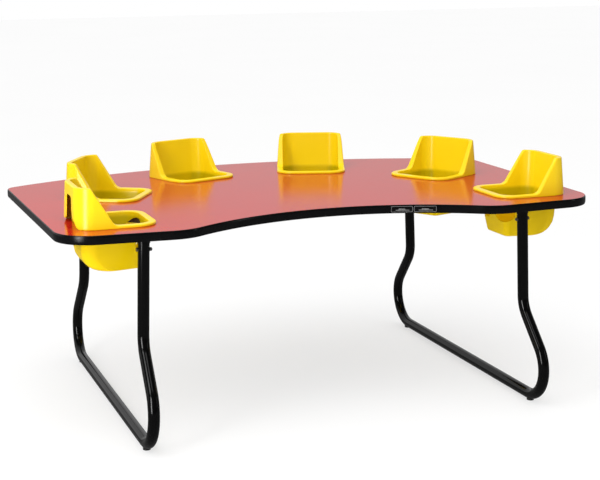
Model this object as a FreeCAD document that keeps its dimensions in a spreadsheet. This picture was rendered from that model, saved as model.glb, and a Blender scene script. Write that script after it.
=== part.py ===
"""Six-seat feeding table: a kidney-shaped laminate top on two bent-tube leg frames,
with six moulded bucket seats hung through cut-outs in the top.

Row frame: +Z up, X along the table, Y from the front (the concave side) to the back.
The origin is on the floor, under the middle of the whole object's bounding box.
Each seat is drawn in its own frame: u forward, v to the sitter's left, w up from the
table's top surface.
"""
import FreeCAD, Part
import Sketcher
import math
import os
from FreeCAD import Placement, Rotation, Vector

SIZES = [
    # table top
    ("table_height", 672.0, "floor to the top surface"),
    ("top_length", 1814.0, "end to end at the rear corners, over the edge band"),
    ("top_depth", 1219.2, "front of the arms to the top of the back curve"),
    ("back_radius", 1860.0, "convex back edge"),
    ("rear_corner_radius", 55.0, "corner between back edge and end"),
    ("front_corner_radius", 120.0, "corner between end and arm front"),
    ("end_taper", 0.9, "degrees by which each end leans in towards the front"),
    ("arm_angle", 3.5, "degrees by which the arm front edge falls back outwards"),
    ("crest_radius", 140.0, "rounding between arm front and bay"),
    ("bay_radius", 815.0, "concave front bay"),
    ("bay_depth", 172.0, "arm front to the deepest point of the bay"),
    ("core_thickness", 25.8, "wood core"),
    ("laminate_thickness", 1.2, "red sheet on top"),
    ("backer_thickness", 1.0, "plain sheet underneath"),
    # edge band
    ("band_thickness", 3.2, "face of the T-shaped edge band"),
    ("band_rounding", 2.6, "rounding of the band's two outer edges"),
    ("barb_length", 11.0, "tongue pushed into the core"),
    ("barb_thickness", 2.2, "thickness of the tongue"),
    ("slot_clearance", 0.1, "slot over the tongue, each way"),
    # seat places, each measured from the edges of the top
    ("side_seat_end_inset", 204.0, "end to side seat centre"),
    ("side_seat_front_inset", 221.0, "arm front to side seat centre"),
    ("corner_seat_end_inset", 303.0, "end to corner seat centre"),
    ("corner_seat_back_inset", 539.2, "back to corner seat centre"),
    ("corner_seat_turn", 30.0, "degrees turned towards the front"),
    ("back_seat_spacing", 468.0, "between the two back seats"),
    ("back_seat_back_inset", 240.2, "back to back seat centre"),
    ("back_seat_turn", 71.0, "degrees turned towards the front"),
    # seat moulding
    ("seat_width", 255.0, "outside, at the table"),
    ("seat_back_reach", 127.0, "centre to back of skirt, at the table"),
    ("seat_front_reach", 128.0, "centre to front of rim"),
    ("seat_back_height", 124.5, "top of the backrest over the table"),
    ("skirt_lean", 6.5, "how far the skirt's back leans in at the top"),
    ("skirt_side_lean", 9.0, "how far each skirt side leans in at the top"),
    ("skirt_corner_radius", 57.0, "back corners, outside"),
    ("rim_corner_radius", 62.0, "front corners, outside"),
    ("inner_corner_gain", 6.0, "inside corners, over what an even rim would leave"),
    ("rim_height", 9.0, "rolled rim over the table"),
    ("rim_width", 23.0, "rim at the front, outside to opening"),
    ("side_width", 23.0, "rim and wings at the sides, outside to opening"),
    ("back_width", 26.0, "double wall at the back, at the table"),
    ("back_recline", 3.0, "how far the inside of the backrest leans out at the top"),
    ("edge_rounding", 3.5, "rounding of the rim, the wings and the backrest, outside"),
    ("wing_foot", -9.6, "u where the wing meets the rim"),
    ("wing_head", -77.2, "u where the wing reaches the full height"),
    ("wing_foot_radius", 25.0, "hollow rounding at the wing's foot"),
    ("wing_head_radius", 8.0, "rounding at the wing's head"),
    ("seat_wall", 3.0, "moulding thickness"),
    ("tub_depth", 138.5, "underside of the tub below the table's top"),
    ("tub_rear_radius", 62.0, "round back of the tub"),
    ("tub_front_lean", 29.0, "how far the tub's front leans in at the bottom"),
    ("tub_side_lean", 12.0, "how far each tub side leans in at the bottom, at the back"),
    ("tub_taper", 26.5, "how much further each side leans in at the front"),
    ("tub_front_radius", 10.0, "front corners of the tub at the bottom, inside"),
    ("tub_edge", 6.5, "rounding round the tub's bottom"),
    ("leg_hole_width", 84.0, "leg opening through a front corner"),
    ("leg_hole_height", 76.0, "leg opening, top to bottom"),
    ("leg_hole_radius", 30.0, "corners of a leg opening"),
    ("leg_hole_top", -10.0, "w of the top of the leg opening"),
    ("leg_hole_turn", 25.0, "degrees from straight ahead to a leg opening"),
    ("leg_hole_reach", 89.3, "u of a point on a leg opening's axis"),
    ("leg_hole_side", 60.3, "v of the same point, on the left"),
    ("cutout_clearance", 2.5, "gap round the tub in the top"),
    # leg frames
    ("tube_diameter", 36.0, "leg tube"),
    ("tube_wall", 1.65, "leg tube"),
    ("leg_end_inset", 250.0, "end of the top to the floor run of a leg frame"),
    ("leg_front_inset", 65.0, "arm front to the front upright"),
    ("leg_back_inset", 248.2, "back to the rear upright"),
    ("leg_bulge", 135.0, "how far the feet stand out from the uprights"),
    ("leg_splay", 42.5, "degrees of the sloping stretch from upright"),
    ("leg_lean", 2.0, "degrees by which a frame leans in at its top"),
    ("shin_bend_radius", 95.0, "bend below the upright"),
    ("foot_bend_radius", 105.0, "bend into the floor run"),
    # leg sockets and fasteners
    ("plate_size", 60.0, "square socket plate"),
    ("plate_thickness", 3.0, "socket plate"),
    ("plate_corner_radius", 8.0, "socket plate"),
    ("spigot_length", 60.0, "stub inside the leg tube"),
    ("spigot_wall", 2.0, "stub inside the leg tube"),
    ("spigot_clearance", 0.2, "stub to tube, on the radius"),
    ("collar_height", 11.0, "ring round the tube's top"),
    ("collar_wall", 1.6, "ring round the tube's top"),
    ("tube_top_gap", 0.4, "tube's top to the socket plate"),
    ("bolt_drop", 34.0, "bolt below the underside of the top"),
    ("bolt_diameter", 6.0, "leg bolt"),
    ("bolt_head_width", 10.0, "across flats, bolt and nut"),
    ("bolt_head_height", 4.0, "leg bolt"),
    ("nut_height", 5.0, "leg nut"),
    ("washer_diameter", 12.5, "leg washer"),
    ("washer_thickness", 1.2, "leg washer"),
    ("bolt_tail", 2.0, "bolt showing past the nut"),
    ("hole_clearance", 0.25, "bolt holes, on the radius"),
    ("screw_diameter", 4.2, "wood screws"),
    ("screw_head_diameter", 8.2, "wood screws, pan head"),
    ("screw_head_face", 5.9, "wood screws, flat of the pan head"),
    ("screw_head_height", 2.6, "wood screws, pan head"),
    ("socket_screw_grip", 18.0, "socket screw in the top"),
    ("seat_screw_grip", 5.0, "seat screw in the moulding"),
    ("seat_screw_inset", 9.5, "outside of the rim to a seat screw"),
    ("seat_screw_reach", 64.0, "seat centre to a seat screw, along u"),
    ("post_overlap", 1.5, "screw post into the outer wall of the moulding"),
    ("pilot_allowance", 0.5, "pilot hole past the screw's point"),
    ("screw_fit", 0.05, "screw in its hole, on the radius"),
    # feet and plates
    ("glide_diameter", 24.0, "floor glide"),
    ("glide_height", 3.0, "glide below the tube"),
    ("glide_cup", 7.5, "glide up round the underside of the tube"),
    ("glide_rounding", 1.2, "edge of the glide's sole"),
    ("glide_stem_diameter", 7.5, "stem pushed into the tube"),
    ("glide_stem_length", 9.0, "above the underside of the tube"),
    ("glide_inset", -15.0, "end of the straight floor run to a glide, inwards"),
    ("label_length", 67.0, "blank plate on the front band"),
    ("label_height", 19.0, "blank plate on the front band"),
    ("label_thickness", 0.6, "blank plate"),
    ("label_start", 202.5, "middle of the table to the first plate"),
    ("label_gap", 4.0, "between the two plates"),
]

# notch in the back of each seat: v, w and corner radius, in millimetres, round its outline
NOTCH = [(-106, -1, 0), (-92, 8, 4), (-82, 20, 5), (-56, 30, 8), (-43, 50, 20), (-34, 90, 12),
         (37, 90, 12), (38, 18, 6), (56, 10, 6), (94, 8, 4), (106, -1, 0)]
OVERCUT = 1.0      # how far a cutter runs past a face
SPARE = 5.0        # the same, past the outside of a seat
LEVEL_NORMAL = 0.3  # smallest upward part of the normal of a face that counts as upward

doc = FreeCAD.newDocument("feeding_table")
sheet = doc.addObject("Spreadsheet::Sheet", "Sizes")
for row, (alias, value, note) in enumerate(SIZES, start=1):
    sheet.set(f"A{row}", note)
    sheet.set(f"B{row}", str(value))
    sheet.setAlias(f"B{row}", alias)
doc.recompute()

UP = Vector(0, 0, 1)
nodes = []


def size(alias):
    """Value of one cell of the sheet, in millimetres or degrees."""
    return float(getattr(sheet, alias))


def bind(thing, **expressions):
    """Tie properties of a document object to expressions on the sheet."""
    for name, expression in expressions.items():
        thing.setExpression(name, expression)
    return thing


def node(thing, label):
    """Register an object as one exported piece."""
    thing.Label = label
    nodes.append(thing)
    return thing


def feature(label, shape, placement=None):
    """A piece whose shape is worked out here from the sheet's values."""
    thing = doc.addObject("Part::Feature", label)
    thing.Shape = shape
    if placement is not None:
        thing.Placement = placement
    return node(thing, label)


# ---------------------------------------------------------------- places

half_length = size("top_length") / 2
tube_radius = size("tube_diameter") / 2
top_z = size("table_height")
core_z = top_z - size("laminate_thickness") - size("core_thickness")
under_z = core_z - size("backer_thickness")
board_thickness = top_z - under_z
tube_axis_z = size("glide_height") + tube_radius
plate_z = under_z - size("plate_thickness")

# the leg frame, measured from the front edge of the arms
upright_front = size("leg_front_inset")
upright_back = size("top_depth") - size("leg_back_inset")
foot_front = upright_front - size("leg_bulge") - tube_radius
foot_back = upright_back + size("leg_bulge") + tube_radius
middle_y = (min(0.0, foot_front) + max(size("top_depth"), foot_back)) / 2
leg_x = half_length - size("leg_end_inset")


def place(x, y, z=0.0, turn=0.0):
    """Placement from table coordinates (y from the arm fronts) in the row frame."""
    return Placement(Vector(x, y - middle_y, z), Rotation(UP, turn))


SIDES = (("left", -1), ("right", 1))
SEATS = {
    "side": (half_length - size("side_seat_end_inset"), size("side_seat_front_inset"), 0.0),
    "corner": (half_length - size("corner_seat_end_inset"),
               size("top_depth") - size("corner_seat_back_inset"), size("corner_seat_turn")),
    "back": (size("back_seat_spacing") / 2,
             size("top_depth") - size("back_seat_back_inset"), size("back_seat_turn")),
}


def seat_places():
    """Name and placement of all six seats, which face the bay."""
    for side, sign in SIDES:
        for where, (x, y, turn) in SEATS.items():
            facing = -turn if sign < 0 else 180 + turn
            yield f"seat_{side}_{where}", place(sign * x, y, top_z, facing)


ENDS = (("front", upright_front), ("back", upright_back))
lean = math.radians(size("leg_lean"))


def leg_plane(sign):
    """Placement of a leg frame: its origin lies on the floor run, and its top leans in."""
    turn = Rotation(Vector(0, 1, 0), -sign * size("leg_lean"))
    return Placement(Vector(sign * leg_x, -middle_y, tube_axis_z), turn)


def leg_top(sign, y, drop=0.0):
    """Placement on a leg's centre line, drop below the underside of the top."""
    reach = (under_z - tube_axis_z) / math.cos(lean) - drop
    return leg_plane(sign).multiply(Placement(Vector(0, y, reach), Rotation()))


def plate_place(sign, y):
    """Placement of a level socket plate, against the underside of the top."""
    return Placement(leg_top(sign, y).Base, Rotation())


PLATES = {f"{side}_{end}": plate_place(sign, y) for side, sign in SIDES for end, y in ENDS}

# ---------------------------------------------------------------- outlines


def arc(start, middle, end):
    """Circular edge through three points."""
    return Part.Arc(start, middle, end).toShape()


def arc_about(centre, radius, start_angle, end_angle):
    """Arc in the XY plane from one angle to another, in degrees."""
    points = []
    for angle in (start_angle, (start_angle + end_angle) / 2, end_angle):
        reach = math.radians(angle)
        points.append(centre + Vector(math.cos(reach), math.sin(reach), 0) * radius)
    return arc(*points)


def chain(pieces):
    """Join arcs into one closed wire, with a straight edge across each gap."""
    edges = []
    for i, piece in enumerate(pieces):
        edges.append(piece)
        end = piece.valueAt(piece.LastParameter)
        start = pieces[(i + 1) % len(pieces)]
        start = start.valueAt(start.FirstParameter)
        if end.distanceToPoint(start) > 1e-6:
            edges.append(Part.LineSegment(end, start).toShape())
    return Part.Wire(edges)


def top_outline(inset=0.0):
    """Edge of the table top, moved in by inset: four kinds of arc and two straight ends."""
    arm = math.radians(size("arm_angle"))
    taper = math.radians(size("end_taper"))
    crest_r = size("crest_radius")
    corner_r = size("front_corner_radius")
    rear_r = size("rear_corner_radius")
    back_r = size("back_radius")
    bay_r = size("bay_radius")
    bay_y = size("bay_depth") - bay_r
    back_y = size("top_depth") - back_r

    # the crest touches the line of the arm fronts and the bay's circle
    crest_y = crest_r
    crest_x = math.sqrt((bay_r + crest_r) ** 2 - (crest_y - bay_y) ** 2)
    bay_turn = math.degrees(math.atan2(crest_y - bay_y, crest_x))
    # the rear corner touches the back curve from inside
    rear_x = half_length - rear_r
    rear_y = back_y + math.sqrt((back_r - rear_r) ** 2 - rear_x ** 2)
    back_turn = math.degrees(math.atan2(rear_y - back_y, rear_x))
    # the front corner touches the arm's edge and the line of the end, which the rear
    # corner touches too
    reach = rear_x * math.cos(taper) - rear_y * math.sin(taper) + rear_r
    arm_y = crest_y - crest_x * math.tan(arm) + (corner_r - crest_r) / math.cos(arm)
    corner_x = ((reach - corner_r + arm_y * math.sin(taper))
                / (math.cos(taper) - math.sin(taper) * math.tan(arm)))
    corner_y = arm_y + corner_x * math.tan(arm)

    arm_turn = math.degrees(arm) - 90
    end_turn = -math.degrees(taper)
    return chain([
        arc_about(Vector(crest_x, crest_y, 0), crest_r - inset, bay_turn - 180, arm_turn),
        arc_about(Vector(corner_x, corner_y, 0), corner_r - inset, arm_turn, end_turn),
        arc_about(Vector(rear_x, rear_y, 0), rear_r - inset, end_turn, back_turn),
        arc_about(Vector(0, back_y, 0), back_r - inset, back_turn, 180 - back_turn),
        arc_about(Vector(-rear_x, rear_y, 0), rear_r - inset, 180 - back_turn, 180 - end_turn),
        arc_about(Vector(-corner_x, corner_y, 0), corner_r - inset, 180 - end_turn, 180 - arm_turn),
        arc_about(Vector(-crest_x, crest_y, 0), crest_r - inset, 180 - arm_turn, 360 - bay_turn),
        arc_about(Vector(0, bay_y, 0), bay_r + inset, 180 - bay_turn, bay_turn),
    ])


def rounded_outline(back, front, half_width, back_radius, front_radius, w=0.0):
    """Rounded rectangle in a seat's frame, with its own front and back corners."""
    corners = [
        arc_about(Vector(front - front_radius, -half_width + front_radius, w), front_radius, -90, 0),
        arc_about(Vector(front - front_radius, half_width - front_radius, w), front_radius, 0, 90),
        arc_about(Vector(back + back_radius, half_width - back_radius, w), back_radius, 90, 180),
        arc_about(Vector(back + back_radius, -half_width + back_radius, w), back_radius, 180, 270),
    ]
    return chain(corners)


def rounded_path(points):
    """Closed wire through points, each given as (position, corner radius)."""
    edges = []
    stops = []
    for i, (here, radius) in enumerate(points):
        before = (points[i - 1][0] - here).normalize()
        after = (points[(i + 1) % len(points)][0] - here).normalize()
        half = before.getAngle(after) / 2
        trim = radius / math.tan(half)
        middle = (before + after).normalize()
        centre = here + middle * (radius / math.sin(half))
        stops.append((here + before * trim, centre - middle * radius, here + after * trim, radius))
    for i, (start, middle, end, radius) in enumerate(stops):
        if radius > 0:
            edges.append(arc(start, middle, end))
        edges.append(Part.LineSegment(end, stops[(i + 1) % len(stops)][0]).toShape())
    return Part.Wire(edges)


def prism(wire, height):
    """Solid that stands on a flat closed wire."""
    return Part.Face(wire).extrude(Vector(0, 0, height))


def loft(*wires):
    """Solid with straight walls between closed wires."""
    return Part.makeLoft(list(wires), True, True)


def side_profile(corners, half_width):
    """Solid across the seat whose side view has the given (u, w, radius) corners."""
    points = [(Vector(u, -half_width, w), radius) for u, w, radius in corners]
    return Part.Face(rounded_path(points)).extrude(Vector(0, 2 * half_width, 0))


# ---------------------------------------------------------------- seat moulding

WALL = size("seat_wall")
HALF_WIDTH = size("seat_width") / 2
BACK = -size("seat_back_reach")
FRONT = size("seat_front_reach")
SEAT_TOP = size("seat_back_height")
SEAT_FLOOR = -size("tub_depth")
# inside of the opening at the table's top
OPEN_BACK = BACK + size("back_width")
OPEN_FRONT = FRONT - size("rim_width")
OPEN_HALF = HALF_WIDTH - size("side_width")
OPEN_RADIUS = size("skirt_corner_radius") - size("side_width") + size("inner_corner_gain")


def skirt_outline(inset, w):
    """Outside of the skirt and the rim at height w, moved in by inset."""
    rise = w / SEAT_TOP
    return rounded_outline(
        BACK + size("skirt_lean") * rise + inset,
        FRONT - inset,
        HALF_WIDTH - size("skirt_side_lean") * rise - inset,
        size("skirt_corner_radius") - inset,
        size("rim_corner_radius") - inset,
        w,
    )


def opening_outline(outset, w):
    """Inside of the backrest, the wings and the rim at height w, moved out by outset."""
    rise = w / SEAT_TOP
    return rounded_outline(
        OPEN_BACK - size("back_recline") * rise - outset,
        OPEN_FRONT + outset,
        OPEN_HALF + outset,
        OPEN_RADIUS + outset,
        OPEN_RADIUS + outset,
        w,
    )


def tub_outline(outset, bend):
    """Inside of the tub, moved out by outset: a rounded trapezoid at one height.

    The height is where the tub's round back has turned by bend degrees, from 0 at the
    bottom to 90 where the back stands upright.
    """
    radius = size("tub_rear_radius") - WALL + outset
    edge = size("tub_edge") - WALL + outset
    turn = math.radians(bend)
    rise = radius * (1 - math.cos(turn))
    w = SEAT_FLOOR + WALL - outset + rise
    back = OPEN_BACK - WALL + size("tub_rear_radius") - radius * math.sin(turn)
    # the sides and the front bend in along the bottom edge
    tuck = edge - math.sqrt(edge ** 2 - max(edge - rise, 0.0) ** 2)
    return tub_section(outset, w, back, tuck)


def tub_section(outset, w, back, tuck=0.0):
    """Rounded trapezoid across the tub at height w, between its back and its front."""
    drop = w / SEAT_FLOOR
    front = OPEN_FRONT + outset - size("tub_front_lean") * drop - tuck / 2
    rear_half = OPEN_HALF + outset - size("tub_side_lean") * drop - tuck
    front_half = rear_half - size("tub_taper") * drop
    rear_r = OPEN_RADIUS + outset
    front_r = rear_r - (OPEN_RADIUS - size("tub_front_radius")) * drop
    return rounded_path([
        (Vector(back, -rear_half, w), rear_r),
        (Vector(front, -front_half, w), front_r),
        (Vector(front, front_half, w), front_r),
        (Vector(back, rear_half, w), rear_r),
    ])


def tub_solid(outset):
    """Tub from the table's top surface down to its bottom, moved out by outset."""
    bends = (0, 8, 16, 26, 38, 52, 70, 90)
    sections = [tub_outline(outset, bend) for bend in bends]
    sections.append(tub_section(outset, 0.0, OPEN_BACK - outset))
    return loft(*sections)


def shell_side(drop):
    """Side view of rim, wing and backrest, lowered by drop all along."""
    high = SEAT_TOP - drop
    low = size("rim_height") - drop
    slope = math.atan2(SEAT_TOP - size("rim_height"), size("wing_foot") - size("wing_head"))
    slip = drop * math.tan(slope / 2)
    return side_profile([
        (BACK - SPARE, 0.0, 0.0),
        (FRONT + SPARE, 0.0, 0.0),
        (FRONT + SPARE, low, 0.0),
        (size("wing_foot") - slip, low, size("wing_foot_radius") + drop),
        (size("wing_head") - slip, high, size("wing_head_radius") - drop),
        (BACK - SPARE, high, 0.0),
    ], HALF_WIDTH + SPARE)


def shell_solid(inset):
    """Everything above the table inside the skirt's outline, moved in and down by inset."""
    body = loft(skirt_outline(inset, 0.0), skirt_outline(inset, SEAT_TOP + SPARE))
    return body.common(shell_side(inset))


def opening_solid(outset):
    """Room inside the backrest and the rim, from the table's top upwards."""
    return loft(opening_outline(outset, 0.0), opening_outline(outset, SEAT_TOP + 2 * SPARE))


def upper_edges(solid):
    """Edges between the upward faces of a solid and its steep outside."""
    upward = []
    steep = []
    for face in solid.Faces:
        u_low, u_high, v_low, v_high = face.ParameterRange
        normal = face.normalAt((u_low + u_high) / 2, (v_low + v_high) / 2)
        if normal.z > LEVEL_NORMAL:
            upward.extend(face.Edges)
        elif abs(normal.z) < LEVEL_NORMAL:
            steep.extend(face.Edges)
    return [edge for edge in upward if any(edge.isSame(other) for other in steep)]


def back_notch():
    """Notch through the outer wall of the seat's back, with a foot that flares out low down."""
    start = BACK - SPARE
    wire = rounded_path([(Vector(start, v, w), radius) for v, w, radius in NOTCH])
    depth = SPARE + size("back_width") / 2
    return Part.Face(wire).extrude(Vector(depth, 0, 0))


def leg_hole(side):
    """Rounded cutter through one front corner of the tub."""
    high = size("leg_hole_top")
    low = high - size("leg_hole_height")
    half = size("leg_hole_width") / 2
    radius = size("leg_hole_radius")
    corners = [Vector(0, -half, low), Vector(0, half, low), Vector(0, half, high),
               Vector(0, -half, high)]
    bar = Part.Face(rounded_path([(corner, radius) for corner in corners]))
    bar = bar.extrude(Vector(HALF_WIDTH, 0, 0))
    start = Vector(size("leg_hole_reach"), side * size("leg_hole_side"), 0)
    swing = Placement(start, Rotation(UP, side * size("leg_hole_turn")))
    bar.Placement = swing.multiply(Placement(Vector(-HALF_WIDTH / 3, 0, 0), Rotation()))
    return bar


def seat_screw_points():
    """Four screw axes through the rim and the skirt, in the seat's frame."""
    v = HALF_WIDTH - size("seat_screw_inset")
    return [Vector(u * size("seat_screw_reach"), s * v, 0) for u in (-1, 1) for s in (-1, 1)]


def seat_solid():
    """One seat: skirt, backrest, wings and rim over the table, and the tub below it."""
    above = shell_solid(0.0)
    above = above.makeFillet(size("edge_rounding"), upper_edges(above))
    hollow = shell_solid(WALL).cut(opening_solid(WALL))
    post_radius = size("seat_screw_inset") - WALL + size("post_overlap")
    posts = [Part.makeCylinder(post_radius, size("seat_screw_grip") + WALL, point)
             for point in seat_screw_points()]
    hollow = hollow.cut(posts)
    room = opening_solid(0.0).fuse(tub_solid(0.0))
    seat = above.cut(hollow).fuse(tub_solid(WALL)).cut(room)
    seat = seat.cut([back_notch(), leg_hole(-1), leg_hole(1)])
    pilot = size("screw_diameter") / 2 + size("screw_fit")
    pilot_depth = size("seat_screw_grip") + size("pilot_allowance")
    seat = seat.cut([Part.makeCylinder(pilot, pilot_depth, point)
                     for point in seat_screw_points()])
    return seat.removeSplitter()


seat_shape = seat_solid()
for name, placement in seat_places():
    feature(name, seat_shape.copy(), placement)

# ---------------------------------------------------------------- table top


def seat_cutout(placement):
    """Hole in the top for the seat at this placement, from below to above the board."""
    depth = board_thickness + 2 * OVERCUT
    hole = prism(opening_outline(WALL + size("cutout_clearance"), 0.0), depth)
    sunk = Placement(Vector(0, 0, -board_thickness - OVERCUT), Rotation())
    hole.Placement = placement.multiply(sunk)
    return hole


def top_face(inset):
    """Flat face of the top's outline, moved in by inset, in the row frame."""
    outline = top_outline(inset)
    outline.translate(Vector(0, -middle_y, 0))
    return Part.Face(outline)


band_face = top_face(0.0)
board_face = top_face(size("band_thickness"))
cutouts = []
seat_screw_axes = []
for name, placement in seat_places():
    cutouts.append(seat_cutout(placement))
    for point in seat_screw_points():
        seat_screw_axes.append((name, placement.multVec(point)))


def slab(face, low, thickness):
    """Flat layer of the given thickness whose underside is at low."""
    layer = face.extrude(Vector(0, 0, thickness))
    layer.translate(Vector(0, 0, low))
    return layer


def seat_screw_holes(low, thickness):
    """Clearance holes through one layer for all the seat screws."""
    radius = size("screw_diameter") / 2 + size("hole_clearance")
    return [
        Part.makeCylinder(radius, thickness + 2 * OVERCUT, Vector(axis.x, axis.y, low - OVERCUT))
        for name, axis in seat_screw_axes
    ]


def socket_screw_points():
    """Four screw axes in a socket plate, about its middle."""
    reach = size("plate_size") / 2 - size("plate_corner_radius")
    return [Vector(x * reach, y * reach, 0) for x in (-1, 1) for y in (-1, 1)]


def socket_pilots():
    """Blind holes up into the board for the socket screws."""
    radius = size("screw_diameter") / 2 + size("screw_fit")
    depth = size("socket_screw_grip") + size("pilot_allowance") + OVERCUT
    holes = []
    for plate in PLATES.values():
        for point in socket_screw_points():
            holes.append(Part.makeCylinder(radius, depth, plate.multVec(point) - UP * OVERCUT))
    return holes


def sheet_layer(low, thickness, extra):
    """Layer of the board with the seats' cut-outs and screw holes, and the extra cutters."""
    layer = slab(board_face, low, thickness)
    return layer.cut(cutouts + seat_screw_holes(low, thickness) + extra)


slot_height = size("barb_thickness") + 2 * size("slot_clearance")
slot_depth = size("barb_length") + size("slot_clearance")
middle_z = under_z + board_thickness / 2
slot_inner = top_face(size("band_thickness") + slot_depth)
slot = slab(board_face, middle_z - slot_height / 2, slot_height).cut(
    slab(slot_inner, middle_z - slot_height, 2 * slot_height))

core = sheet_layer(core_z, size("core_thickness"), socket_pilots() + [slot])
laminate = sheet_layer(core_z + size("core_thickness"), size("laminate_thickness"), [])
backer = sheet_layer(under_z, size("backer_thickness"), socket_pilots())
feature("table_core", core)
feature("laminate_top", laminate)
feature("laminate_backer", backer)


def edge_band():
    """T-shaped band: a face with rounded edges, and a tongue in the core's slot."""
    face = slab(band_face, under_z, board_thickness)
    rims = [edge for edge in face.Edges
            if abs(edge.BoundBox.ZMax - edge.BoundBox.ZMin) < 1e-6]
    face = face.makeFillet(size("band_rounding"), rims)
    face = face.cut(slab(board_face, under_z - OVERCUT, board_thickness + 2 * OVERCUT))
    tongue_inner = top_face(size("band_thickness") + size("barb_length"))
    tongue_low = middle_z - size("barb_thickness") / 2
    tongue = slab(top_face(size("band_thickness") / 2), tongue_low, size("barb_thickness"))
    tongue = tongue.cut(slab(tongue_inner, tongue_low - OVERCUT,
                             size("barb_thickness") + 2 * OVERCUT))
    return face.fuse(tongue).removeSplitter()


feature("edge_band", edge_band())


def label_plate(start):
    """Thin blank plate that follows the bay's curve, from start towards +X."""
    centre_y = size("bay_depth") - size("bay_radius") - middle_y
    low = middle_z - size("label_height") / 2
    ring = Part.makeCylinder(size("bay_radius"), size("label_height"), Vector(0, centre_y, low))
    ring = ring.cut(Part.makeCylinder(size("bay_radius") - size("label_thickness"),
                                      size("label_height"), Vector(0, centre_y, low)))
    window = Part.makeBox(size("label_length"), size("bay_radius") * 2, size("label_height"),
                          Vector(start, centre_y, low))
    return ring.common(window)


feature("label_plate_inner", label_plate(size("label_start")))
feature("label_plate_outer",
        label_plate(size("label_start") + size("label_length") + size("label_gap")))

# ---------------------------------------------------------------- leg frames


def around(y, z, radius, angle):
    """Point on a circle in a leg's plane, with the angle in degrees from +Y towards +Z."""
    turn = math.radians(angle)
    return Vector(0, y + radius * math.cos(turn), z + radius * math.sin(turn))


def leg_path():
    """Centre line of the front half of a leg frame, in its plane, from the top down."""
    splay = size("leg_splay")
    foot_r = size("foot_bend_radius")
    shin_r = size("shin_bend_radius")
    foot_y = upright_front - size("leg_bulge") + foot_r
    # the sloping stretch leaves the foot bend here and meets the upright's line there
    leave = around(foot_y, foot_r, foot_r, 180 - splay)
    knee_z = leave.z + (upright_front - leave.y) / math.tan(math.radians(splay))
    shin_y = upright_front - shin_r
    shin_z = knee_z + shin_r * math.tan(math.radians(splay / 2))
    # the tube's flat end stays clear of the level plate at its higher edge
    top = ((plate_z - tube_axis_z - size("tube_top_gap")) / math.cos(lean)
           - tube_radius * math.tan(lean))
    return [
        Vector(0, upright_front, top),
        Vector(0, upright_front, shin_z),
        around(shin_y, shin_z, shin_r, -splay / 2),
        around(shin_y, shin_z, shin_r, -splay),
        leave,
        around(foot_y, foot_r, foot_r, (450 - splay) / 2),
        around(foot_y, foot_r, foot_r, 270),
    ]


def mirrored(points):
    """The same points on the rear half of the frame, in running order."""
    both = upright_front + upright_back
    return [Vector(point.x, both - point.y, point.z) for point in reversed(points)]


def path_edges(front):
    """Straight runs and tangent arcs of the whole frame."""
    back = mirrored(front)
    return [
        Part.LineSegment(front[0], front[1]).toShape(),
        arc(front[1], front[2], front[3]),
        Part.LineSegment(front[3], front[4]).toShape(),
        arc(front[4], front[5], front[6]),
        Part.LineSegment(front[6], back[0]).toShape(),
        arc(back[0], back[1], back[2]),
        Part.LineSegment(back[2], back[3]).toShape(),
        arc(back[3], back[4], back[5]),
        Part.LineSegment(back[5], back[6]).toShape(),
    ]


leg_points = leg_path()
leg_wire = Part.Wire(path_edges(leg_points))
GLIDES = {
    "front": leg_points[-1].y + size("glide_inset"),
    "back": mirrored(leg_points)[0].y - size("glide_inset"),
}


def leg_pipe(side, kind, spine, radius_expression):
    """Round bar of the given radius along a leg frame's centre line."""
    ring = doc.addObject("Part::Circle", f"leg_{kind}_ring_{side}")
    bind(ring, Radius=radius_expression)
    ring.Placement = spine.Placement.multiply(Placement(leg_points[0], Rotation()))
    bar = doc.addObject("Part::Sweep", f"leg_{kind}_bar_{side}")
    bar.Sections = [ring]
    bar.Spine = (spine, [f"Edge{i + 1}" for i in range(len(leg_wire.Edges))])
    bar.Solid = True
    bar.Frenet = False
    return bar


ALONG_X = Placement(Vector(0, 0, 0), Rotation(UP, Vector(1, 0, 0)))


def cylinder(name, placement, radius_expression, height_expression):
    """Cylinder whose sizes follow the sheet."""
    thing = doc.addObject("Part::Cylinder", name)
    bind(thing, Radius=radius_expression, Height=height_expression)
    thing.Placement = placement
    return thing


def shifted(placement, x=0.0, y=0.0, z=0.0):
    """Placement moved along its own axes."""
    return placement.multiply(Placement(Vector(x, y, z), Rotation()))


def fused(name, members):
    """All members as one solid."""
    thing = doc.addObject("Part::MultiFuse", name)
    thing.Shapes = members
    return thing


def minus(name, base, tools):
    """Base with all tools cut away."""
    thing = doc.addObject("Part::Cut", name)
    thing.Base = base
    thing.Tool = tools[0] if len(tools) == 1 else fused(f"{name}_tools", tools)
    return thing


def bolt_drill(name, sign, y):
    """Cutter for the cross bolt through a leg's top."""
    start = shifted(leg_top(sign, y, size("bolt_drop")), x=-size("tube_diameter"))
    return cylinder(name, start.multiply(ALONG_X),
                    "Sizes.bolt_diameter / 2 + Sizes.hole_clearance", "2 * Sizes.tube_diameter")


leg_bars = {}
for side, sign in SIDES:
    spine = doc.addObject("Part::Feature", f"leg_line_{side}")
    spine.Shape = leg_wire
    spine.Placement = leg_plane(sign)
    bar = leg_pipe(side, "outer", spine, "Sizes.tube_diameter / 2")
    leg_bars[side] = bar
    cutters = [leg_pipe(side, "inner", spine, "Sizes.tube_diameter / 2 - Sizes.tube_wall")]
    for end, y in ENDS:
        cutters.append(bolt_drill(f"bolt_hole_{side}_{end}", sign, y))
    for end, y in GLIDES.items():
        cutters.append(cylinder(f"stem_hole_{side}_{end}", place(sign * leg_x, y),
                                "Sizes.glide_stem_diameter / 2 + Sizes.screw_fit",
                                "Sizes.glide_height + Sizes.tube_diameter / 2"))
    node(minus(f"leg_tube_{side}", bar, cutters), f"leg_frame_{side}")

# ---------------------------------------------------------------- leg sockets


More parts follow.
